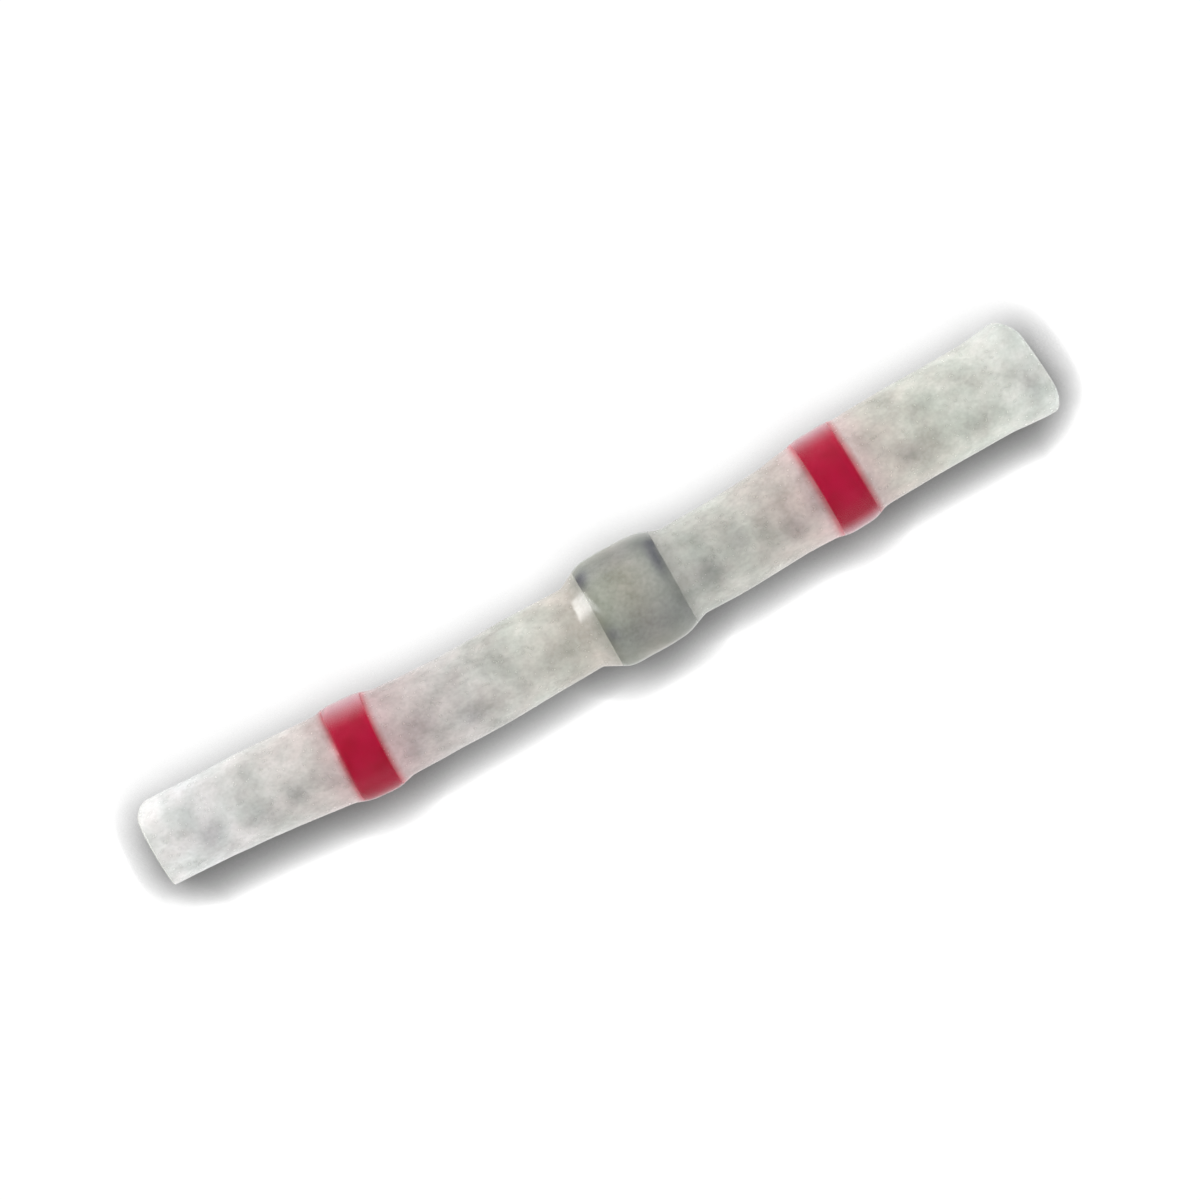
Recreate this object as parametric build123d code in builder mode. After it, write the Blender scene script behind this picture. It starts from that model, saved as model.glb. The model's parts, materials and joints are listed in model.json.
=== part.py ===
from build123d import *
from math import atan, cos, degrees, radians, sin, tan
import os

# A solder seal wire connector, lying on a flat surface as it comes to rest. A heat-shrink sleeve is shrunk
# in over a solder ring near its middle and over a sealing ring on each side, and its necks between them
# keep the rings from sliding. A stripped wire goes in at each mouth and meets the other under the solder.
# Millimetres: X runs along the sleeve, Z is up, and the origin is on the surface under the sleeve's middle.

# Places along the sleeve's own axis
sleeve_length = 40.0
solder_offset = 1.5  # the solder ring sits this far right of the sleeve's middle
left_seal_from_solder = 12.35  # between the middles of the two rings
right_seal_from_solder = 9.25

# The sleeve's wall, and what stays open between it and the rings that it is shrunk on to
sleeve_wall = 0.45
ring_gap = 0.02

# Solder ring: a short barrel, straight along its crown and bevelled down to its ends
solder_r = 1.86  # outside, along the crown
solder_thickness = 0.48
solder_width = 3.5
solder_bevel = 0.5  # length of each bevel along the axis
solder_slope = 25.0  # degrees, of the ring's bevels and of the sleeve's shoulders down to its necks
solder_blend = 1.0  # radius between crown and bevels, and at both ends of the sleeve's shoulders

# Sealing rings: the same section on both sides, the right one a little larger across
left_seal_r = 1.62
right_seal_r = 1.71
seal_thickness = 0.36
seal_width = 1.7
seal_bevel = 0.3
seal_slope = 16.0
seal_blend = 0.8

ring_edge = 0.1  # rounding of every ring's end corners

# How far the bore steps down from its seat over a ring to the sleeve beside that ring
left_waist_step = 0.58  # beside the solder
right_waist_step = 0.43
left_neck_step = 0.20  # beside the seal, towards the solder
right_neck_step = 0.13
left_leg_step = 0.17  # beside the seal, towards the mouth
right_leg_step = 0.15

# How far the bore opens from each waist to the bend in its neck
left_waist_opening = 0.07
right_waist_opening = 0.03

# The left leg narrows to a straight entry at its mouth, which is cut square
left_leg_taper = 0.15
left_entry = 2.6
left_mouth_edge = 0.06

# The right leg is straight, flares near its mouth, and has a straight lip that has softened in the heat
right_flare_rise = 0.13
right_flare = 1.5
right_lip = 0.7
right_lip_edge = 0.32
right_bore_edge = 0.08

# The sleeve is slightly bowed: each leg leaves the middle stretch through a gentle bend in its neck
left_bow = 2.8  # degrees, sideways
right_bow = 2.2
bend_length = 2.4
bend_land = 0.4  # straight run at each end of a bend
neck_blend = 2.0  # radius of the gentle corners along necks, legs and the flare


def shoulder(step, slope):
    """Length along the axis that a shoulder of this slope takes for this step in radius."""
    return step / tan(radians(slope))


def seat(middle, width, bevel, slope, seat_r, inner_step, outer_step):
    """Bore line over a ring: up one shoulder, along the ring's crown, and down the other shoulder."""
    half_crown = width / 2 - bevel
    return [
        (middle - half_crown - shoulder(inner_step, slope), seat_r - inner_step),
        (middle - half_crown, seat_r),
        (middle + half_crown, seat_r),
        (middle + half_crown + shoulder(outer_step, slope), seat_r - outer_step),
    ]


def ring_face(plane, middle, width, bevel, slope, crown_r, thickness, blend):
    """Section of a ring, drawn on this plane: its bore, its end corners, and bevels like the shoulders."""
    end_r = crown_r - bevel * tan(radians(slope))
    bore_r = crown_r - thickness
    with BuildSketch(plane) as section:
        with BuildLine():
            outer = FilletPolyline(
                (middle - width / 2, bore_r),
                (middle - width / 2, end_r),
                (middle - width / 2 + bevel, crown_r),
                (middle + width / 2 - bevel, crown_r),
                (middle + width / 2, end_r),
                (middle + width / 2, bore_r),
                radius=[ring_edge, blend, blend, ring_edge],
            )
            Line(outer @ 1, outer @ 0)
        make_face()
    return section.sketch


def bend_place(seal_from_solder, waist_step, neck_step):
    """Distance from the solder's middle to the middle of a bend, which is the middle of its neck."""
    waist = solder_width / 2 - solder_bevel + shoulder(waist_step, solder_slope)
    neck_end = seal_from_solder - seal_width / 2 + seal_bevel - shoulder(neck_step, seal_slope)
    return (waist + neck_end) / 2


def leave_middle(along, straight, leg, bow, mouth_r):
    """The bend at one end of the middle stretch, and the plane in which its leg's section is drawn.

    The leg goes aside by its bow, and down until its mouth lies on the same surface as the solder's bulge.
    The bend is an arc of bend_length. The plane's origin is where the arc ends, and its X runs out along
    the leg to the mouth.
    """
    drop = (solder_seat_r - mouth_r) / (leg + bend_length / 2)
    aside = Vector(0, tan(radians(bow)), -drop)
    turn = atan(aside.length)
    toward = aside.normalized()
    bend_radius = bend_length / turn
    start = along * straight
    end = start + along * (bend_radius * sin(turn)) + toward * (bend_radius * (1 - cos(turn)))
    hinge = along.cross(toward)
    heading = along * cos(turn) + toward * sin(turn)
    return Axis(start + toward * bend_radius, hinge), degrees(turn), Plane(end, x_dir=heading, z_dir=hinge)


solder_seat_r = solder_r + ring_gap
left_seat_r = left_seal_r + ring_gap
right_seat_r = right_seal_r + ring_gap
left_bend_r = solder_seat_r - left_waist_step + left_waist_opening
right_bend_r = solder_seat_r - right_waist_step + right_waist_opening
left_mouth_r = left_seat_r - left_leg_step - left_leg_taper
right_leg_r = right_seat_r - right_leg_step
right_mouth_r = right_leg_r + right_flare_rise

# Lengths of the middle stretch on each side of the solder, and of each leg from its bend to its mouth
left_bend_at = bend_place(left_seal_from_solder, left_waist_step, left_neck_step)
right_bend_at = bend_place(right_seal_from_solder, right_waist_step, right_neck_step)
left_straight = left_bend_at - bend_length / 2
right_straight = right_bend_at - bend_length / 2
left_leg = sleeve_length / 2 + solder_offset - left_bend_at - bend_length / 2
right_leg = sleeve_length / 2 - solder_offset - right_bend_at - bend_length / 2

middle_plane = Plane.XZ
leftwards = Vector(-1, 0, 0)
rightwards = Vector(1, 0, 0)
left_hinge, left_turn, left_plane = leave_middle(leftwards, left_straight, left_leg, left_bow, left_mouth_r)
right_hinge, right_turn, right_plane = leave_middle(
    rightwards, right_straight, right_leg, right_bow, right_mouth_r
)
left_seal_at = left_seal_from_solder - left_bend_at - bend_length / 2
right_seal_at = right_seal_from_solder - right_bend_at - bend_length / 2

# The bore's line along each stretch: X along the axis, Y the radius
solder_section = solder_width, solder_bevel, solder_slope
seal_section = seal_width, seal_bevel, seal_slope
middle_bore = [
    (-left_straight, left_bend_r),
    (-left_straight + bend_land, left_bend_r),
    *seat(0, *solder_section, solder_seat_r, left_waist_step, right_waist_step),
    (right_straight - bend_land, right_bend_r),
    (right_straight, right_bend_r),
]
left_bore = [
    (0, left_bend_r),
    (bend_land, left_bend_r),
    *seat(left_seal_at, *seal_section, left_seat_r, left_neck_step, left_leg_step),
    (left_leg - left_entry, left_mouth_r),
    (left_leg, left_mouth_r),
]
right_bore = [
    (0, right_bend_r),
    (bend_land, right_bend_r),
    *seat(right_seal_at, *seal_section, right_seat_r, right_neck_step, right_leg_step),
    (right_leg - right_lip - right_flare, right_leg_r),
    (right_leg - right_lip, right_mouth_r),
    (right_leg, right_mouth_r),
]

# The radius of every corner between a line's ends: the bend's, a seat's four, then those of the mouth
middle_blends = [neck_blend, *[solder_blend] * 4, neck_blend]
left_blends = [neck_blend, *[seal_blend] * 4, neck_blend]
right_blends = [neck_blend, *[seal_blend] * 4, neck_blend, neck_blend]

middle_axis = Axis(middle_plane.origin, middle_plane.x_dir)
left_axis = Axis(left_plane.origin, left_plane.x_dir)
right_axis = Axis(right_plane.origin, right_plane.x_dir)

# The sleeve: three straight stretches, turned about their own axes, with a bend between each two
with BuildPart() as shrink_sleeve:
    with BuildSketch(middle_plane):
        with BuildLine():
            FilletPolyline(*middle_bore, radius=middle_blends)
            offset(amount=sleeve_wall, side=Side.LEFT)
        make_face()
    revolve(axis=middle_axis)

    for plane, axis, bore, blends, outer_edge, inner_edge in (
        (left_plane, left_axis, left_bore, left_blends, left_mouth_edge, left_mouth_edge),
        (right_plane, right_axis, right_bore, right_blends, right_lip_edge, right_bore_edge),
    ):
        with BuildSketch(plane) as section:
            with BuildLine():
                FilletPolyline(*bore, radius=blends)
                offset(amount=sleeve_wall, side=Side.LEFT)
            make_face()
            fillet(section.vertices().group_by(Axis.X)[-1].sort_by(Axis.Y)[-1], outer_edge)
            fillet(section.vertices().group_by(Axis.X)[-1].sort_by(Axis.Y)[0], inner_edge)
        revolve(axis=axis)

    for along, straight, hinge, turn, bend_r in (
        (leftwards, left_straight, left_hinge, left_turn, left_bend_r),
        (rightwards, right_straight, right_hinge, right_turn, right_bend_r),
    ):
        with BuildSketch(Plane(along * straight, z_dir=along)):
            Circle(bend_r + sleeve_wall)
            Circle(bend_r, mode=Mode.SUBTRACT)
        revolve(axis=hinge, revolution_arc=turn)

# The solder ring
with BuildPart() as solder_ring:
    revolve(
        ring_face(middle_plane, 0, *solder_section, solder_r, solder_thickness, solder_blend),
        axis=middle_axis,
    )

# The two sealing rings
with BuildPart() as seal_ring_left:
    revolve(
        ring_face(left_plane, left_seal_at, *seal_section, left_seal_r, seal_thickness, seal_blend),
        axis=left_axis,
    )

with BuildPart() as seal_ring_right:
    revolve(
        ring_face(right_plane, right_seal_at, *seal_section, right_seal_r, seal_thickness, seal_blend),
        axis=right_axis,
    )

# The origin goes on the surface, under the middle of the sleeve
box = shrink_sleeve.part.bounding_box()
home = Location((-box.center().X, -box.center().Y, -box.min.Z))

shrink_sleeve.part.label = "shrink_sleeve"
solder_ring.part.label = "solder_ring"
seal_ring_left.part.label = "seal_ring_left"
seal_ring_right.part.label = "seal_ring_right"

os.makedirs("parts", exist_ok=True)
for piece in (shrink_sleeve, solder_ring, seal_ring_left, seal_ring_right):
    placed = piece.part.moved(home)
    export_step(placed, f"parts/{placed.label}.step")
    print(placed.label, round(placed.volume, 3), "mm3", placed.bounding_box())
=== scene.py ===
# %% [markdown]
# # A solder seal wire connector
#
# The real thing is one short piece of milky heat-shrink tube with three rings inside: a dull solder ring near
# the middle and a red sealing ring on each side. The maker shrinks the tube a little over the rings, so it
# bulges over each ring and necks in beside it. A stripped wire goes in at each mouth.
#
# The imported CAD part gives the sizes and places. Every piece here is a surface worked out with numpy around
# the same axis, and it stands for one node of the CAD part.

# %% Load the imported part
import json

import bpy
import numpy as np
from mathutils import Matrix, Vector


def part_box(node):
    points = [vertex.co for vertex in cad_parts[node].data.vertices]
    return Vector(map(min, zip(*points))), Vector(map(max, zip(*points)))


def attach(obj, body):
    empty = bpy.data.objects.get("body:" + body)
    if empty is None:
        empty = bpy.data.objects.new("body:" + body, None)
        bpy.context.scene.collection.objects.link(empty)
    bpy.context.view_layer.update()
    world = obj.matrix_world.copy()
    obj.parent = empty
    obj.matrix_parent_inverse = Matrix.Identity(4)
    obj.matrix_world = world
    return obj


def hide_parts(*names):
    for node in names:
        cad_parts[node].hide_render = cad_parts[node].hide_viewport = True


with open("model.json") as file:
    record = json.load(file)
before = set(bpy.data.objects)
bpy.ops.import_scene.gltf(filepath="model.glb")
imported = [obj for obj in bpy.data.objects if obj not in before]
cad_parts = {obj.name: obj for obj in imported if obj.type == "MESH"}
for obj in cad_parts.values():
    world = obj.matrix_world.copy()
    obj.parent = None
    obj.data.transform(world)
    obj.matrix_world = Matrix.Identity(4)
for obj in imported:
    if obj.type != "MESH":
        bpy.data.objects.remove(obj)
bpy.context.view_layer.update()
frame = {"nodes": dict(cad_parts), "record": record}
mounts = {mount["name"]: mount for mount in frame["record"]["mounts"]}
print("nodes", sorted(frame["nodes"]))

# %% [markdown]
# ## The axis that everything follows
#
# The sleeve is not quite straight. It runs level and straight over the solder ring, and each leg leaves that
# stretch through a gentle bend, a few degrees to the side and down to the surface. The CAD part says where
# each leg lies: the two wire entries are mounts with a point and an axis. The middle stretch is the axis of
# the solder ring. One straight heading, turned evenly into each leg's heading over the length of its bend
# and then added up, gives the whole line. Heat leaves such a tube a little crooked as well, so at the end the
# line sways to the side by up to a sixth of a millimetre, most at the sealing rings.

# %% The axis
mm = 0.001
left_end = -21.5  # along the sleeve from the solder ring's middle, in millimetres
right_end = 18.5
left_bend_at = -6.80
right_bend_at = 5.21
bend_length = 2.4
past_ends = 1.0  # the axis is worked out this far past both mouths
axis_step = 0.01

solder_low, solder_high = (np.array(corner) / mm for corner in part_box("solder_ring"))
solder_middle = (solder_low + solder_high) / 2
left_out = np.array(mounts["left_wire_entry"]["axis"])
right_out = np.array(mounts["right_wire_entry"]["axis"])


def unit(vectors):
    """Each vector divided by its own length."""
    return vectors / np.linalg.norm(vectors, axis=-1, keepdims=True)


def sleeve_axis(step):
    """Places along the sleeve with the axis' points and its headings there.

    The heading is the level one, mixed with a leg's heading by a share that climbs evenly from 0 to 1 over
    that leg's bend. The points are the running sum of the headings, shifted to pass the solder's middle.
    """
    along = np.arange(left_end - past_ends, right_end + past_ends + step / 2, step)
    left_share = np.clip((left_bend_at + bend_length / 2 - along) / bend_length, 0, 1)[:, None]
    right_share = np.clip((along - right_bend_at + bend_length / 2) / bend_length, 0, 1)[:, None]
    level = np.array([1.0, 0.0, 0.0])
    heading = unit((1 - left_share - right_share) * level - left_share * left_out + right_share * right_out)
    points = np.cumsum(heading, axis=0) * step
    middle = [np.interp(0, along, points[:, axis]) for axis in range(3)]
    return along, points - middle + solder_middle, heading


def soft_line(table, blend, along):
    """The table's points joined straight, then averaged over the blend length around each place.

    The mean is the difference of the line's running sum at the window's two ends, over its length.
    """
    step = axis_step / 2
    fine = np.arange(left_end - 2 * past_ends, right_end + 2 * past_ends, step)
    line = np.interp(fine, table[:, 0], table[:, 1])
    total = np.concatenate([[0], np.cumsum((line[1:] + line[:-1]) / 2 * step)])
    after = np.interp(along + blend / 2, fine, total)
    before = np.interp(along - blend / 2, fine, total)
    return (after - before) / blend


axis_along, axis_points, axis_heading = sleeve_axis(axis_step)
for name in ("left_wire_entry", "right_wire_entry"):
    entry = np.array(mounts[name]["pos_m"]) / mm
    print(name, "lies", round(float(np.linalg.norm(axis_points - entry, axis=1).min()), 3), "mm off the axis")

# Places along the sleeve, and how far aside (+Y) the axis lies there
sway = np.array([
    (left_end, 0.05),
    (-16.5, 0.04),
    (-12.2, -0.16),
    (-9.0, -0.12),
    (-5.0, 0.0),
    (4.0, 0.0),
    (7.8, 0.10),
    (9.4, 0.05),
    (10.6, 0.14),
    (12.5, 0.13),
    (17.5, -0.03),
    (right_end, -0.04),
])
sway_blend = 1.2
axis_points[:, 1] += soft_line(sway, sway_blend, axis_along)
print("the axis has", len(axis_along), "points and sways by", np.abs(sway[:, 1]).max(), "mm")


# %% [markdown]
# ## Carrying a section along the axis
#
# Each piece is round, so it needs only a half section: how far along the axis a point lies and how far out.
# At every place on the axis there are two directions square to it, one to the side and one up. A point's
# angle starts at the top and turns to the side, so its place is the axis point, plus the radius times the
# cosine of the angle upwards, plus the radius times the sine of the angle sideways. Done for whole arrays at
# once, that is a grid of points, and the grid closes on itself both ways.

# %% Carry a section round the axis
def round_axis(along, radius, angle):
    """Points at these places along the axis, at this radius and angle: arrays of the same shape."""
    centre = np.stack([np.interp(along, axis_along, axis_points[:, axis]) for axis in range(3)], axis=-1)
    heading = np.stack([np.interp(along, axis_along, axis_heading[:, axis]) for axis in range(3)], axis=-1)
    side = unit(np.cross([0.0, 0.0, 1.0], heading))
    top = np.cross(heading, side)
    return centre + radius[..., None] * (np.cos(angle)[..., None] * top + np.sin(angle)[..., None] * side)


def closed_grid(name, points, along, mask, finishes=0):
    """A mesh of quads over a grid that closes both ways. Rows follow the section, columns go round.

    Each quad joins a point to its neighbours in the next row and column, with the last joined to the first.
    The volume that the quads enclose, a sum of corner products, tells whether they face outwards. Along and
    mask are kept as attributes of the points. Finishes holds the number of each row's material.
    """
    rows, columns, _ = points.shape
    index = np.arange(rows * columns).reshape(rows, columns)
    next_row = np.roll(index, -1, axis=0)
    across = np.roll(index, -1, axis=1)
    diagonal = np.roll(next_row, -1, axis=1)
    quads = np.stack([index, next_row, diagonal, across], axis=-1).reshape(-1, 4)
    flat = points.reshape(-1, 3)
    a, b, c, d = (flat[quads[:, corner]] for corner in range(4))
    volume = (np.cross(a, b) * c + np.cross(a, c) * d).sum() / 6
    if volume < 0:
        quads = quads[:, ::-1]
    mesh = bpy.data.meshes.new(name)
    mesh.from_pydata((flat * mm).tolist(), [], quads.tolist())
    mesh.polygons.foreach_set("use_smooth", np.ones(len(quads), bool))
    row_finishes = np.broadcast_to(finishes, rows)
    mesh.polygons.foreach_set("material_index", np.repeat(row_finishes, columns).astype(np.int32))
    for label, values in (("along", along), ("mask", mask)):
        attribute = mesh.attributes.new(label, "FLOAT", "POINT")
        everywhere = np.broadcast_to(values, (rows, columns)).astype(np.float32)
        attribute.data.foreach_set("value", everywhere.ravel())
    mesh.update()
    piece = bpy.data.objects.new(name, mesh)
    bpy.context.scene.collection.objects.link(piece)
    print(name, len(quads), "quads,", round(abs(float(volume)), 2), "mm3")
    return piece


def turn_angles(count):
    """Angles round the axis for this many columns, from 0 to just under a full turn."""
    return np.linspace(0, 2 * np.pi, count, endpoint=False)


def smooth_step(value, low, high):
    """0 below low, 1 above high, and an even S curve between them."""
    share = np.clip((value - low) / (high - low), 0, 1)
    return share * share * (3 - 2 * share)


def degrees_away(angle, middle):
    """How far each angle lies from the middle one, in degrees from -180 to 180."""
    return (np.degrees(angle) - middle + 180) % 360 - 180


def soft_spots(spots, along, angle):
    """The sum of soft round spots: each a strength times the bell curve of its distance both ways.

    A spot is its place and reach along the axis, its angle and spread in degrees, and its strength.
    """
    share = np.zeros(np.broadcast(along, angle).shape)
    for place, reach, middle, spread, strength in spots:
        aside = degrees_away(angle, middle) / spread
        share += strength * np.exp(-((along - place) / reach) ** 2 - aside ** 2)
    return share


# %% [markdown]
# ## The sleeve
#
# The bore steps up to a seat over each ring and down again beside it, and the wall outside it is equally
# thick all along. So the bore's line is a short table of places and radii, joined straight, with its corners
# rounded by the mean over a short length. The outside is that line moved out square to itself by the wall.
# The left mouth was cut off clean and a little slanted. The right mouth flares and has gone soft in the heat,
# so its outer corner is round.

# %% The sleeve's own line
sleeve_wall = 0.45
solder_seat_r = 1.88
left_seat_r = 1.64
right_seat_r = 1.73
corner_blend = 0.35  # length that the mean is taken over, where two straight runs of the bore meet

# Places along the sleeve, and the bore's radius there
bore_table = np.array([
    (left_end, 1.32),
    (-18.9, 1.32),
    (-13.49, 1.47),
    (-12.90, left_seat_r),
    (-11.80, left_seat_r),
    (-11.10, 1.44),
    (-8.40, 1.37),
    (-5.20, 1.37),
    (-2.32, 1.30),
    (-1.26, 1.86),
    (-0.40, solder_seat_r),
    (0.40, solder_seat_r),
    (1.10, 1.83),
    (2.08, 1.45),
    (3.61, 1.48),
    (6.81, 1.48),
    (8.25, 1.60),
    (8.70, right_seat_r),
    (9.80, right_seat_r),
    (10.32, 1.58),
    (16.3, 1.58),
    (17.8, 1.71),
    (right_end, 1.71),
])


def bore_radius(along):
    """Radius of the bore at these places."""
    return soft_line(bore_table, corner_blend, along)


def outer_radius(along):
    """The bore's line moved out by the wall, square to itself, and read off at these places."""
    fine = np.arange(left_end - past_ends, right_end + past_ends, axis_step)
    bore = bore_radius(fine)
    slope = np.gradient(bore, fine)
    length = np.hypot(slope, 1)
    return np.interp(along, fine - sleeve_wall * slope / length, bore + sleeve_wall / length)


def quarter(centre_along, centre_r, radius, start, steps):
    """A quarter circle of (along, radius) points, anticlockwise from this angle in degrees."""
    angle = np.radians(np.linspace(start, start + 90, steps))
    return np.stack([centre_along + radius * np.cos(angle), centre_r + radius * np.sin(angle)], axis=-1)


print("bore", bore_table[:, 1].min(), "to", bore_table[:, 1].max(), "mm in radius")

# %% [markdown]
# ## The sleeve's closed section and its three finishes
#
# The wall is milky: its outside scatters most of the light and lets the rest through to a hazy bore. Where it
# is pressed on to a ring, nothing is left to scatter in, and the ring shows in full colour through a clear
# wall. So the section's rows take one of three finishes: clear over the rings, a hair short of their ends,
# milky on the rest of the outside, and hazy in the bore and on the cut faces.

# %% The sleeve's closed section
seal_width = 1.8
solder_width = 3.56
clear_short = 0.07  # how far the clear wall stops before a ring's end
ring_places = {
    "solder": (0.0, solder_width),
    "seal_left": (-12.35, seal_width),
    "seal_right": (9.25, seal_width),
}
clear, milky, hazy = range(3)
line_rows = 330
lip_rows = 10
left_cut_edge = 0.06
right_lip_edge = 0.32
right_bore_edge = 0.08

clear_ends = [
    middle + side * (width / 2 - clear_short) for middle, width in ring_places.values() for side in (-1, 1)
]
along_line = np.linspace(left_end + left_cut_edge, right_end - right_lip_edge, line_rows)
along_line = np.sort(np.concatenate([along_line, clear_ends]))
bore_line = np.linspace(left_end + left_cut_edge, right_end - right_bore_edge, line_rows)
mouth_r = bore_table[-1, 1]
left_r = bore_table[0, 1]
bore_part = np.stack([bore_line, bore_radius(bore_line)], axis=-1)[1:-1]
outer_part = np.stack([along_line, outer_radius(along_line)], axis=-1)[::-1][1:-1]
right_lip = np.concatenate([
    quarter(right_end - right_bore_edge, mouth_r + right_bore_edge, right_bore_edge, 270, lip_rows),
    quarter(right_end - right_lip_edge, mouth_r + sleeve_wall - right_lip_edge, right_lip_edge, 0, lip_rows),
])
left_lip = np.concatenate([
    quarter(left_end + left_cut_edge, left_r + sleeve_wall - left_cut_edge, left_cut_edge, 90, lip_rows),
    quarter(left_end + left_cut_edge, left_r + left_cut_edge, left_cut_edge, 180, lip_rows),
])
section = np.concatenate([bore_part, right_lip, outer_part, left_lip])
finishes = np.full(len(section), hazy)
finishes[len(bore_part) + lip_rows : -len(left_lip)] = milky
row_middles = (section[:, 0] + np.roll(section[:, 0], -1)) / 2
for middle, width in ring_places.values():
    finishes[(finishes == milky) & (np.abs(row_middles - middle) < width / 2 - clear_short)] = clear
print("section", len(section), "points, rows of each finish", np.bincount(finishes))


# %% [markdown]
# ## What heat and scissors leave
#
# A perfect tube looks computed. A heat gun leaves slow swells in the wall, a hair deep, and no cut is quite
# square, so each mouth's rows slide along the axis: a little by a slant, and more where a corner is worn.

# %% Bring the sleeve off the perfect round
sleeve_columns = 128
ripple_depth = 0.012
slow_wave = 0.9  # radians per millimetre along the sleeve
slow_twist = 0.4  # and the swells wind round it by this much
slow_share = 0.7
quick_wave = 2.3
quick_twist = 0.8
quick_share = 0.5
left_cut_out = 0.04  # how far the top of the left cut stands out past its sides
left_cut_slant = -0.02
left_cut_twist = 0.03
right_cut_slant = 0.10
corner_reach = 0.5  # a worn corner takes up this share of the mouth's radius
left_back_worn = 0.44  # how far a mouth's corner is drawn back, at the back (+Y) or at the front
right_back_worn = 0.46
right_front_worn = 0.18
cut_reach = 2.0  # the cut's slant fades out over this length


def uneven(along, angle):
    """Small swells of a hand-heated tube: a slow and a quick wave, each a sine along it times one round it.

    The added angles only put the two out of step, and the sine inside the quick one makes it irregular.
    """
    slow = np.sin(slow_wave * along + 1.3) * np.cos(2 * angle + slow_twist * along)
    quick = np.sin(quick_wave * along + 2 * np.sin(0.7 * along)) * np.cos(angle - quick_twist * along + 0.5)
    return ripple_depth * (slow_share * slow + quick_share * quick)


def worn_corner(side):
    """A round corner's drop, 0 to 1, as side grows from 1 less corner_reach to 1: the share's third power."""
    share = np.clip((side - 1 + corner_reach) / corner_reach, 0, 1)
    return share ** 3


def slant_cuts(along, angle):
    """Slide each row along the axis by its cut's slant and worn corners, most at the mouth itself."""
    near_left = np.clip(1 - (along - left_end) / cut_reach, 0, 1) ** 2
    near_right = np.clip(1 - (right_end - along) / cut_reach, 0, 1) ** 2
    side = np.sin(angle)
    left = -left_cut_out * np.cos(angle) + left_cut_slant * side - left_cut_twist * np.sin(2 * angle)
    left = left + left_back_worn * worn_corner(side)
    right = -right_cut_slant * side - right_back_worn * worn_corner(side)
    right = right - right_front_worn * worn_corner(-side)
    return along + near_left * left + near_right * right


# The spots all lie just in front of the top, on the side away from the light: partly blotches in the milk,
# partly painted shade.
# Darker spots: place and reach along the sleeve, angle and spread in degrees, and strength
cloud_and_shade_spots = (
    (-19.1, 0.6, -21, 18, 0.8),
    (-17.0, 0.7, -31, 18, 0.5),
    (-15.4, 0.5, -19, 14, 0.6),
    (-13.9, 0.5, -16, 14, 0.5),
    (-10.5, 0.5, -34, 16, 0.6),
    (-9.9, 0.7, -8, 16, 0.6),
    (-7.8, 0.5, -31, 14, 0.8),
    (3.0, 0.7, -16, 18, 0.9),
    (4.7, 0.4, 0, 14, 0.7),
    (6.9, 0.6, -25, 16, 0.8),
    (8.0, 0.4, -10, 14, 0.5),
    (11.3, 0.5, -3, 14, 0.4),
    (12.2, 0.5, -22, 14, 0.8),
    (17.7, 0.4, -20, 20, 0.6),
)

angle = turn_angles(sleeve_columns)[None, :]
along = section[:, :1] + 0 * angle
radius = section[:, 1:] + uneven(along, angle)
points = round_axis(slant_cuts(along, angle), radius, angle + 0 * along)
sleeve = closed_grid("sleeve", points, along, soft_spots(cloud_and_shade_spots, along, angle), finishes)

# %% [markdown]
# ## The three rings
#
# A sealing ring is soft wax-like plastic, and the warm sleeve has been drawn down on to it. Where ring and
# sleeve touch, no air lies between them and the ring shows in full colour, spread by the sleeve's curve over
# nearly its whole width. So a ring's outside follows the bore's own line, a hair further out.
#
# Each ring also carries a mask from 0 to 1 as an attribute. On the sealing rings it is a milky film along
# their ends, and a painted sheen on their sides, under both of which their red pales. On the solder it marks
# dark spots, with painted shade along its right edge and on its front side.

# %% The rings
# The radius of each ring's own bore
ring_bores = {"solder": 1.38, "seal_left": 1.26, "seal_right": 1.35}

ring_columns = 128
ring_rows_per_side = 32
contact = 0.01  # how far a ring's outside reaches past the bore
film_from = 0.80  # the film at a ring's ends starts here, as a share of half its width
end_film = 0.35  # how thick it gets there


def side_patch(angle, middle, full, gone):
    """1 near the middle angle, up to full away from it, and 0 further away than gone, all in degrees."""
    return 1 - smooth_step(np.abs(degrees_away(angle, middle)), full, gone)


def make_ring(name, mask):
    """A ring between its own bore and the sleeve's, with the mask that the given function works out.

    Its outline is a rectangle, along by depth, with the corners softened by a mean. Depth 0 is the ring's
    bore and depth 1 its outside, so a radius is the mean of those two weighted by depth.
    """
    middle, width = ring_places[name]
    corners = np.array([(-1.0, 0.0), (-1.0, 1.0), (1.0, 1.0), (1.0, 0.0)])
    following = np.roll(corners, -1, axis=0)
    share = np.linspace(0, 1, ring_rows_per_side, endpoint=False)[None, :, None]
    loop = (corners[:, None] * (1 - share) + following[:, None] * share).reshape(-1, 2)
    loop = (np.roll(loop, 1, axis=0) + 2 * loop + np.roll(loop, -1, axis=0)) / 4
    angle = turn_angles(ring_columns)[None, :]
    along = middle + loop[:, :1] * width / 2 + 0 * angle
    depth = loop[:, 1:]
    outside = bore_radius(along) + contact + uneven(along, angle)
    radius = ring_bores[name] * (1 - depth) + outside * depth
    return closed_grid(name, round_axis(along, radius, angle + 0 * along), along, mask(along - middle, angle))


def film_and_sheen(*patches):
    """A mask function for a sealing ring: film at its ends, and painted sheen in these patches of its sides.
    """
    def mask(along, angle):
        share = end_film * smooth_step(np.abs(along) / (seal_width / 2), film_from, 1.0)
        for patch in patches:
            share = np.maximum(share, side_patch(angle, *patch))
        return share
    return mask
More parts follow.
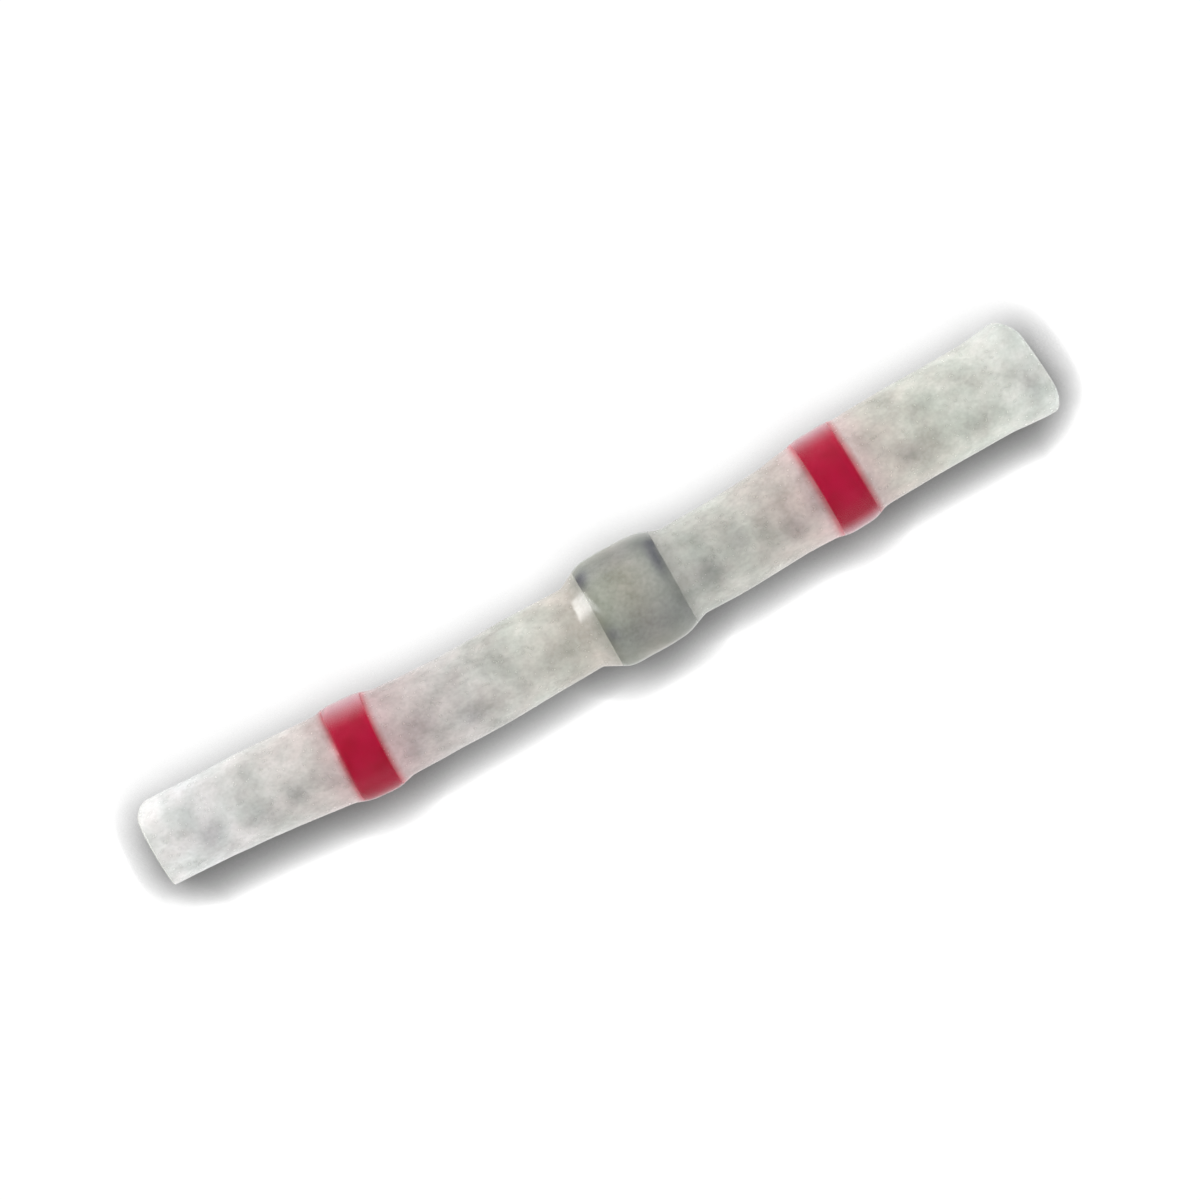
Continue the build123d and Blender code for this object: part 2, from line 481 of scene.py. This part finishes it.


# Painted sheen on the rings' sides: the angle of its middle, and how far from there it stays full and is gone
left_side_sheen = ((105, 5, 70),)
right_side_sheen = ((115, 5, 68), (250, 5, 52))

# The line near the right edge and the darker front are painted shade.
# Dark spots: place and reach along the ring, angle and spread in degrees, and strength
solder_dark_spots = (
    (1.44, 0.24, 34, 26, 0.8),
    (1.60, 0.30, 62, 12, 0.5),
    (-1.50, 0.28, 62, 16, 0.7),
    (-1.45, 0.25, -26, 10, 0.4),
    (0.0, 2.40, -42, 34, 0.35),
    (0.0, 2.60, 66, 22, 0.3),
)


def solder_darkening(along, angle):
    """A mask for the solder: painted shade in a line near its right edge and on its front, dark spots at its
    left edge, a darker back.
    """
    return soft_spots(solder_dark_spots, along, angle)


solder = make_ring("solder", solder_darkening)
seal_left = make_ring("seal_left", film_and_sheen(*left_side_sheen))
seal_right = make_ring("seal_right", film_and_sheen(*right_side_sheen))

# %% [markdown]
# ## Helpers for materials
#
# A material is a small network of nodes. These helpers start a material and add a node with its settings and
# inputs in one call, so that each material below reads as a list of steps.

# %% Node helpers
def add(tree, kind, inputs=None, **settings):
    """A new node. Settings are its own options. Inputs are values, or sockets of other nodes to link."""
    node = tree.nodes.new(kind)
    for key, value in settings.items():
        setattr(node, key, value)
    for key, value in (inputs or {}).items():
        if isinstance(value, bpy.types.NodeSocket):
            tree.links.new(value, node.inputs[key])
        else:
            node.inputs[key].default_value = value
    return node


def new_material(name, inputs):
    """A material with an empty tree but its shader and output, and the shader's plain values."""
    material = bpy.data.materials.new(name)
    material.use_nodes = True
    tree = material.node_tree
    tree.nodes.clear()
    shader = add(tree, "ShaderNodeBsdfPrincipled", inputs)
    add(tree, "ShaderNodeOutputMaterial", {"Surface": shader.outputs[0]})
    return material, tree, shader


def srgb(red, green, blue, alpha=1.0):
    """A colour as a picture shows it, 0 to 255, turned into the linear values that a node takes."""
    shown = np.array([red, green, blue]) / 255
    linear = np.where(shown <= 0.04045, shown / 12.92, ((shown + 0.055) / 1.055) ** 2.4)
    return (*linear.tolist(), alpha)


pure_white = (1.0, 1.0, 1.0, 1.0)  # as a tint it changes nothing
print("a picture's middle grey is", round(srgb(128, 128, 128)[0], 3), "in a node")

# %% [markdown]
# ## Cloudiness, used by almost every material
#
# Drawn plastic is never evenly clear. One node group makes soft clouds a few millimetres wide, a second set
# of clouds out of step with them, and a fine grain like frost. Each material places the group with its own
# sizes and decides what the masks do.

# %% The cloudiness group
def cloudiness_group():
    """A node group with inputs Clouds and Grain, in cycles per millimetre, that gives masks from 0 to 1."""
    group = bpy.data.node_groups.new("cloudiness", "ShaderNodeTree")
    for label, value in (("Clouds", 0.5), ("Grain", 8.0)):
        socket = group.interface.new_socket(label, in_out="INPUT", socket_type="NodeSocketFloat")
        socket.default_value = value
    for label in ("Clouds", "Shift", "Grain"):
        group.interface.new_socket(label, in_out="OUTPUT", socket_type="NodeSocketFloat")
    given = add(group, "NodeGroupInput").outputs
    place = add(group, "ShaderNodeTexCoord")
    in_mm = add(group, "ShaderNodeVectorMath", operation="SCALE", inputs={0: place.outputs["Object"]})
    in_mm.inputs["Scale"].default_value = 1 / mm
    moved = add(group, "ShaderNodeVectorMath", operation="ADD", inputs={0: in_mm.outputs[0], 1: (31, 17, 5)})
    masks = {}
    for label, vector, scale, detail, low, high in (
        ("Clouds", in_mm, "Clouds", 3.0, 0.30, 0.70),
        ("Shift", moved, "Clouds", 2.0, 0.36, 0.64),
        ("Grain", moved, "Grain", 1.0, 0.25, 0.75),
    ):
        noise = add(group, "ShaderNodeTexNoise", {
            "Vector": vector.outputs[0], "Scale": given[scale], "Detail": detail, "Roughness": 0.6,
        })
        masks[label] = add(group, "ShaderNodeMapRange", {
            "Value": noise.outputs[0], "From Min": low, "From Max": high,
        }).outputs[0]
    add(group, "NodeGroupOutput", masks)
    return group


cloudiness = cloudiness_group()
print("the cloudiness group has", len(cloudiness.nodes), "nodes")


def add_cloudiness(tree, clouds, grain):
    """The cloudiness group placed in a material, with its own sizes."""
    node = add(tree, "ShaderNodeGroup", node_tree=cloudiness)
    node.inputs["Clouds"].default_value = clouds
    node.inputs["Grain"].default_value = grain
    return node


# %% [markdown]
# ## The sleeve's finishes
#
# All three are the same satin plastic. The milky one scatters most of the light, and it changes its tint
# from stretch to stretch: cool at the mouths, rosy near the sealing rings, where the red shines through, and
# sallow near the solder. Darker spots lie over it, partly blotches in the milk and partly painted shade on
# the side away from the light, and so do clouds, a slow shift between rosy and greenish, and a fine grain.

# %% Clear, milky and hazy plastic
skin_ior = 1.42
clear_ior = 1.33  # less mirror-like where the wall lies on a ring

# The milky wall's tint at places along the sleeve. Over the rings only its edge beside the clear wall shows.
skin_tints = (
    (left_end, srgb(253, 254, 255)),
    (-19.5, srgb(250, 252, 255)),
    (-17.0, srgb(238, 239, 238)),
    (-14.2, srgb(237, 230, 228)),
    (-13.45, srgb(235, 212, 213)),
    (-13.2, srgb(203, 98, 110)),
    (-11.5, srgb(203, 98, 110)),
    (-11.25, srgb(230, 205, 208)),
    (-10.3, srgb(224, 212, 212)),
    (-8.0, srgb(228, 226, 225)),
    (-4.5, srgb(228, 230, 223)),
    (-2.4, srgb(228, 221, 213)),
    (-1.75, srgb(196, 195, 187)),
    (1.75, srgb(190, 192, 188)),
    (2.3, srgb(216, 219, 214)),
    (4.8, srgb(223, 225, 219)),
    (7.4, srgb(234, 221, 217)),
    (8.1, srgb(233, 211, 211)),
    (8.4, srgb(203, 98, 110)),
    (10.1, srgb(203, 98, 110)),
    (10.35, srgb(228, 210, 209)),
    (11.3, srgb(230, 224, 217)),
    (13.5, srgb(232, 235, 227)),
    (16.0, srgb(238, 242, 236)),
    (right_end, srgb(246, 251, 249)),
)


def mix_colours(tree, share, first, second, kind="MIX"):
    """A colour mix node's result. Share, first and second are values or sockets."""
    node = add(tree, "ShaderNodeMix", data_type="RGBA", blend_type=kind)
    for slot, value in ((0, share), (6, first), (7, second)):
        if isinstance(value, bpy.types.NodeSocket):
            tree.links.new(value, node.inputs[slot])
        else:
            node.inputs[slot].default_value = value
    return node.outputs[2]


def along_ramp(tree, stops):
    """A colour that changes along the sleeve, from the piece's own along attribute and these stops."""
    place = add(tree, "ShaderNodeAttribute", attribute_name="along")
    share = add(tree, "ShaderNodeMapRange", {
        "Value": place.outputs["Fac"], "From Min": left_end, "From Max": right_end,
    })
    ramp = add(tree, "ShaderNodeValToRGB", {"Fac": share.outputs[0]})
    elements = ramp.color_ramp.elements
    while len(elements) < len(stops):
        elements.new(1.0)
    for element, (place_mm, colour) in zip(elements, stops):
        element.position = (place_mm - left_end) / (right_end - left_end)
        element.color = colour
    return ramp.outputs[0]


def grainy_roughness(tree, shader, cloudy, low, high):
    """Roughness between low and high by the grain mask."""
    rough = add(tree, "ShaderNodeMapRange", {"Value": cloudy.outputs["Grain"], "To Min": low, "To Max": high})
    tree.links.new(rough.outputs[0], shader.inputs["Roughness"])


def make_clear():
    """The wall over a ring: all light passes."""
    material, tree, shader = new_material("sleeve_clear", {
        "Base Color": srgb(250, 250, 248), "IOR": clear_ior, "Transmission Weight": 1.0,
    })
    grainy_roughness(tree, shader, add_cloudiness(tree, 0.6, 5.0), 0.16, 0.24)
    return material


def make_milky():
    """The wall elsewhere: most light is scattered, tinted by place under spots that are partly painted shade,
    clouds, shift and grain.
    """
    material, tree, shader = new_material("sleeve_milky", {"IOR": skin_ior, "Transmission Weight": 0.35})
    cloudy = add_cloudiness(tree, 0.8, 6.0)
    # The spots mask darkens the wall: partly blotches, partly painted shade.
    spots = add(tree, "ShaderNodeAttribute", attribute_name="mask")
    colour = along_ramp(tree, skin_tints)
    for layer in (
        mix_colours(tree, spots.outputs["Fac"], pure_white, srgb(218, 217, 220)),
        mix_colours(tree, cloudy.outputs["Clouds"], pure_white, srgb(208, 209, 207)),
        mix_colours(tree, cloudy.outputs["Shift"], srgb(255, 250, 249), srgb(250, 251, 249)),
        mix_colours(tree, cloudy.outputs["Grain"], pure_white, srgb(236, 236, 235)),
    ):
        colour = mix_colours(tree, 1.0, colour, layer, "MULTIPLY")
    tree.links.new(colour, shader.inputs["Base Color"])
    grainy_roughness(tree, shader, cloudy, 0.22, 0.28)
    return material


def make_hazy():
    """The bore and the cut faces: rough inside, it lets about half of the light pass."""
    material, _, _ = new_material("sleeve_hazy", {
        "Base Color": srgb(240, 241, 236), "IOR": skin_ior, "Transmission Weight": 0.5, "Roughness": 0.5,
    })
    return material


# %% [markdown]
# ## The rings' finishes
#
# The sealing rings are waxy crimson, a little uneven in depth. The solder is a ring of soft alloy gone dull:
# grey with an olive cast, a warm breath of flux in its middle, and darker, bluish spots, with painted shade
# in the line by its right edge and on its front side.

# %% Sealant and solder
even_reach = 0.5  # a sealing ring's tint is even this far from its middle
end_reach = 0.84  # and is the end's tint from here on


def ring_end_stops(middle_tint, end_tint):
    """Colour stops along the sleeve: one tint in the middle of each sealing ring, the other at its ends."""
    stops = []
    for name in ("seal_left", "seal_right"):
        middle = ring_places[name][0]
        stops += [(middle - end_reach, end_tint), (middle - even_reach, middle_tint)]
        stops += [(middle + even_reach, middle_tint), (middle + end_reach, end_tint)]
    return stops


def make_sealant():
    """Crimson wax in two reds by the clouds, pink under the film and the painted sheen, and lighter at the
    ends.

    Less light comes in at a ring's ends, beside the milky wall, and the lighter tint there makes up for it.
    """
    material, tree, shader = new_material("sealant", {"IOR": 1.46, "Specular IOR Level": 0.05})
    cloudy = add_cloudiness(tree, 0.9, 4.0)
    red = mix_colours(tree, cloudy.outputs["Clouds"], srgb(215, 16, 72), srgb(194, 10, 55))
    # The mask is film at the ends and painted sheen on the sides.
    film_and_sheen_mask = add(tree, "ShaderNodeAttribute", attribute_name="mask")
    colour = mix_colours(tree, film_and_sheen_mask.outputs["Fac"], red, srgb(252, 202, 213))
    ends = along_ramp(tree, ring_end_stops(srgb(213, 213, 213), pure_white))
    tree.links.new(mix_colours(tree, 1.0, colour, ends, "MULTIPLY"), shader.inputs["Base Color"])
    grainy_roughness(tree, shader, cloudy, 0.4, 0.6)
    return material


# The solder's tint at places along the ring, lighter at its ends for the same reason
solder_tints = (
    (-1.75, srgb(249, 250, 243)),
    (-1.45, srgb(219, 221, 213)),
    (-1.20, srgb(213, 215, 207)),
    (0.0, srgb(216, 213, 205)),
    (1.20, srgb(211, 213, 209)),
    (1.45, srgb(217, 219, 216)),
    (1.75, srgb(246, 248, 246)),
)


def make_solder():
    """Dull metal: tinted along the ring, clouded, darker in spots and in painted shade, with a fine grain in
    its roughness.
    """
    material, tree, shader = new_material("solder_metal", {"Metallic": 1.0})
    cloudy = add_cloudiness(tree, 0.8, 6.0)
    tint = along_ramp(tree, solder_tints)
    darker = mix_colours(tree, cloudy.outputs["Clouds"], pure_white, srgb(223, 226, 220))
    clean = mix_colours(tree, 1.0, tint, darker, "MULTIPLY")
    # The mask darkens it to a bluish grey: dark spots, and painted shade by the right edge and on the front.
    spots = add(tree, "ShaderNodeAttribute", attribute_name="mask")
    colour = mix_colours(tree, spots.outputs["Fac"], clean, srgb(148, 149, 160))
    tree.links.new(colour, shader.inputs["Base Color"])
    grainy_roughness(tree, shader, cloudy, 0.75, 0.9)
    return material


# %% [markdown]
# ## Each piece gets its finish and its place in the part
#
# The sleeve's faces already hold the number of their finish, in the order clear, milky, hazy. Every piece
# stands for one CAD node, whose own mesh is hidden, and belongs to the part's only body.

# %% Dress the pieces
sealant = make_sealant()
for piece, node, slot, materials in (
    (sleeve, "shrink_sleeve", "sleeve", (make_clear(), make_milky(), make_hazy())),
    (solder, "solder_ring", "solder", (make_solder(),)),
    (seal_left, "seal_ring_left", "sealant", (sealant,)),
    (seal_right, "seal_ring_right", "sealant", (sealant,)),
):
    for material in materials:
        piece.data.materials.append(material)
    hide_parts(node)
    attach(piece, "root")
    print(piece.name, "wears", [material.name for material in materials])

# %% [markdown]
# ## The floor
#
# The connector lies on a plain white floor, and a tight, soft shadow hugs it all round, deepest along the
# side away from the light. To the camera the floor is a little lit paint and mostly a plain glow, which dims
# by how much of the space around a point is taken up by the object within a couple of millimetres. Rays that
# reach the floor through the clear sleeve, or by a reflection, see it white, because that is what clear
# plastic shows.

# %% The floor
floor_size = 2.0  # metres
floor_paint = 0.9
shown_paint = 0.12  # the paint that the camera sees, under the glow
floor_glow = 0.90  # light that the floor gives off by itself, to the camera alone
shadow_reach = 0.0021
shadow_lean = (0.0, 0.6, 0.8)  # the shadow is looked for towards this side, where the light comes from
shadow_depth = 2.4  # power that deepens the shadow
shadow_samples = 8
end_near = 0.0186  # past an end the shadow is tighter: from here, in metres from the middle, to end_far
end_far = 0.0205
end_shadow_reach = 0.0015
end_shadow_depth = 3.4
end_lean = 1.5  # and it is looked for towards the object


def sees_backdrop(tree):
    """The light path, and 1 for a ray that no diffuse surface has turned yet, else 0."""
    path = add(tree, "ShaderNodeLightPath")
    unspread = add(tree, "ShaderNodeMath", {0: path.outputs["Diffuse Depth"], 1: 0.5}, operation="LESS_THAN")
    return path, unspread.outputs[0]


def make_floor():
    """White paint that keeps the object's shadow for the camera and is plain white behind clear plastic."""
    material = bpy.data.materials.new("floor")
    material.use_nodes = True
    tree = material.node_tree
    tree.nodes.clear()
    path, unspread = sees_backdrop(tree)
    either = add(tree, "ShaderNodeMath", {
        0: path.outputs["Is Glossy Ray"], 1: path.outputs["Is Transmission Ray"],
    }, operation="MAXIMUM")
    backdrop = add(tree, "ShaderNodeMath", {0: either.outputs[0], 1: unspread}, operation="MULTIPLY")
    place = add(tree, "ShaderNodeSeparateXYZ", {0: add(tree, "ShaderNodeTexCoord").outputs["Object"]})
    away = add(tree, "ShaderNodeMath", {0: place.outputs["X"]}, operation="ABSOLUTE")
    side = add(tree, "ShaderNodeMath", {0: place.outputs["X"]}, operation="SIGN")
    past_end = {"Value": away.outputs[0], "From Min": end_near, "From Max": end_far}
    leaning = add(tree, "ShaderNodeMapRange", {**past_end, "To Max": -end_lean})
    reach = add(tree, "ShaderNodeMapRange", {**past_end, "To Min": shadow_reach, "To Max": end_shadow_reach})
    depth = add(tree, "ShaderNodeMapRange", {**past_end, "To Min": shadow_depth, "To Max": end_shadow_depth})
    inwards = add(tree, "ShaderNodeMath", {0: leaning.outputs[0], 1: side.outputs[0]}, operation="MULTIPLY")
    lean = add(tree, "ShaderNodeCombineXYZ", {0: inwards.outputs[0], 1: shadow_lean[1], 2: shadow_lean[2]})
    lean = add(tree, "ShaderNodeVectorMath", {0: lean.outputs[0]}, operation="NORMALIZE")
    openness = add(tree, "ShaderNodeAmbientOcclusion", {
        "Normal": lean.outputs[0], "Distance": reach.outputs[0],
    }, samples=shadow_samples)
    shade = add(tree, "ShaderNodeMath", {0: openness.outputs["AO"], 1: depth.outputs[0]}, operation="POWER")
    paint_level = add(tree, "ShaderNodeMix", {
        0: path.outputs["Is Camera Ray"], 2: floor_paint, 3: shown_paint,
    })
    paint = add(tree, "ShaderNodeBsdfDiffuse", {"Color": paint_level.outputs[0]})
    glow_level = add(tree, "ShaderNodeMath", {0: shade.outputs[0], 1: floor_glow}, operation="MULTIPLY")
    for_camera = add(tree, "ShaderNodeMath", {
        0: path.outputs["Is Camera Ray"], 1: glow_level.outputs[0],
    }, operation="MULTIPLY")
    glow = add(tree, "ShaderNodeEmission", {"Strength": for_camera.outputs[0]})
    shown = add(tree, "ShaderNodeAddShader", {0: paint.outputs[0], 1: glow.outputs[0]})
    white = add(tree, "ShaderNodeEmission", {"Strength": 1.0})
    mixed = add(tree, "ShaderNodeMixShader", {
        0: backdrop.outputs[0], 1: shown.outputs[0], 2: white.outputs[0],
    })
    add(tree, "ShaderNodeOutputMaterial", {"Surface": mixed.outputs[0]})
    return material


floor_mesh = bpy.data.meshes.new("floor")
half = floor_size / 2
floor_corners = [(-half, -half, 0), (half, -half, 0), (half, half, 0), (-half, half, 0)]
floor_mesh.from_pydata(floor_corners, [], [(0, 1, 2, 3)])
floor = bpy.data.objects.new("floor", floor_mesh)
bpy.context.scene.collection.objects.link(floor)
floor_mesh.materials.append(make_floor())
print("floor", floor_size, "m wide")

# %% [markdown]
# ## The light
#
# The light on the object comes from an even sky with a soft bright panel low at the back and a weaker one low
# in front, so that the round wall is brightest along both its edges. An oval lamp that only reflections see
# makes the glint on the shoulder left of the solder. It stands low behind and to the left, where that
# shoulder mirrors it up to the camera.

# %% The sky and the glint's lamp
sky_light = 0.91  # light that the sky gives on its own, all round
back_light = 2.1  # what the bright panel low at the back (+Y) adds at its middle
front_light = 1.45
panel_edge = 0.4  # the panels begin this far towards the back or front, as a share of the way
overhead_gloss = 0.22  # what reflections see overhead, where the camera is; they see white lower down
gloss_white_below = 0.1  # heights of a direction, from 0 level to 1 straight up, between which it changes
gloss_dark_above = 0.5
glint_direction = (-0.774, 0.538, 0.332)
glint_distance = 0.20  # metres
glint_size = (0.28, 0.045)  # its long way and its short way
glint_watts = 0.58


def make_sky():
    """A sky with a soft panel low at the back and a weaker one in front, to light the object from both sides.

    The camera and clear plastic see the sky white, and reflections see it white low down.
    """
    world = bpy.data.worlds.new("studio")
    bpy.context.scene.world = world
    world.use_nodes = True
    tree = world.node_tree
    tree.nodes.clear()
    path, unspread = sees_backdrop(tree)
    direction = add(tree, "ShaderNodeSeparateXYZ", {0: add(tree, "ShaderNodeTexCoord").outputs["Generated"]})
    back, front = (
        add(tree, "ShaderNodeMapRange", {
            "Value": direction.outputs["Y"], "From Min": side * panel_edge, "From Max": side,
            "To Max": strength,
        })
        for side, strength in ((1, back_light), (-1, front_light))
    )
    panels = add(tree, "ShaderNodeMath", {0: back.outputs[0], 1: front.outputs[0]}, operation="ADD")
    lit = add(tree, "ShaderNodeMath", {0: panels.outputs[0], 1: sky_light}, operation="ADD")
    mirrored = add(tree, "ShaderNodeMapRange", {
        "Value": direction.outputs["Z"], "From Min": gloss_white_below, "From Max": gloss_dark_above,
        "To Min": 1.0, "To Max": overhead_gloss,
    })
    gloss = add(tree, "ShaderNodeMath", {0: path.outputs["Is Glossy Ray"], 1: unspread}, operation="MULTIPLY")
    through = add(tree, "ShaderNodeMath", {
        0: path.outputs["Is Transmission Ray"], 1: unspread,
    }, operation="MULTIPLY")
    white = add(tree, "ShaderNodeMath", {
        0: path.outputs["Is Camera Ray"], 1: through.outputs[0],
    }, operation="MAXIMUM")
    level = add(tree, "ShaderNodeMix", {0: gloss.outputs[0], 2: lit.outputs[0], 3: mirrored.outputs[0]})
    level = add(tree, "ShaderNodeMix", {0: white.outputs[0], 2: level.outputs[0], 3: 1.0})
    background = add(tree, "ShaderNodeBackground", {"Color": pure_white, "Strength": level.outputs[0]})
    add(tree, "ShaderNodeOutputWorld", {"Surface": background.outputs[0]})


def make_lamp(name, direction, distance, size, watts):
    """An oval lamp this far from the origin in this direction, turned to face it.

    Only reflections see it, so it hardly lights the plastic itself.
    """
    light = bpy.data.lights.new(name, "AREA")
    light.shape = "ELLIPSE"
    light.size, light.size_y = size
    light.energy = watts
    lamp = bpy.data.objects.new(name, light)
    bpy.context.scene.collection.objects.link(lamp)
    lamp.visible_diffuse = False
    lamp.visible_transmission = False
    back = unit(np.array(direction))
    right = unit(np.cross([-1.0, 0.0, 0.0], back))
    up = np.cross(back, right)
    matrix = np.eye(4)
    matrix[:3] = np.stack([right, up, back, back * distance], axis=1)
    lamp.matrix_world = Matrix(matrix.tolist())
    print(name, "stands at", np.round(back * distance, 3).tolist())


make_sky()
make_lamp("glint", glint_direction, glint_distance, glint_size, glint_watts)

# %% [markdown]
# ## The camera
#
# The picture looks straight down on the connector, which rises to the right in it. So the camera hangs high
# over the middle between the two mouths and is turned about its own line of sight, and its lens is chosen so
# that the picture is a little wider than the sleeve is long.

# %% The camera
camera_height = 0.35  # above the sleeve's middle
view_width = 47.67  # millimetres of the scene across the picture, at the sleeve's height
picture_turn = 29.27  # degrees that the sleeve rises to the right in the picture
picture_shift = (0.21, 0.11)  # millimetres from the sleeve's middle to the picture's, right and up
sensor_width = 36.0

camera_data = bpy.data.cameras.new("camera")
camera_data.sensor_width = sensor_width
camera_data.lens = sensor_width * camera_height / (view_width * mm)
camera_data.clip_start = mm
camera = bpy.data.objects.new("camera", camera_data)
bpy.context.scene.collection.objects.link(camera)
turn = np.radians(-picture_turn)
picture_right = np.array([np.cos(turn), np.sin(turn), 0])
picture_up = np.array([-np.sin(turn), np.cos(turn), 0])
mouths = [
    [np.interp(end, axis_along, axis_points[:, axis]) for axis in range(3)] for end in (left_end, right_end)
]
middle = np.mean(mouths, axis=0)
camera.location = (middle + picture_right * picture_shift[0] + picture_up * picture_shift[1]) * mm
camera.location.z = solder_middle[2] * mm + camera_height
camera.rotation_euler = (0, 0, turn)
bpy.context.scene.camera = camera
bpy.context.scene.view_settings.view_transform = "Standard"
print("lens", round(camera_data.lens, 1), "mm, at", [round(place, 4) for place in camera.location])
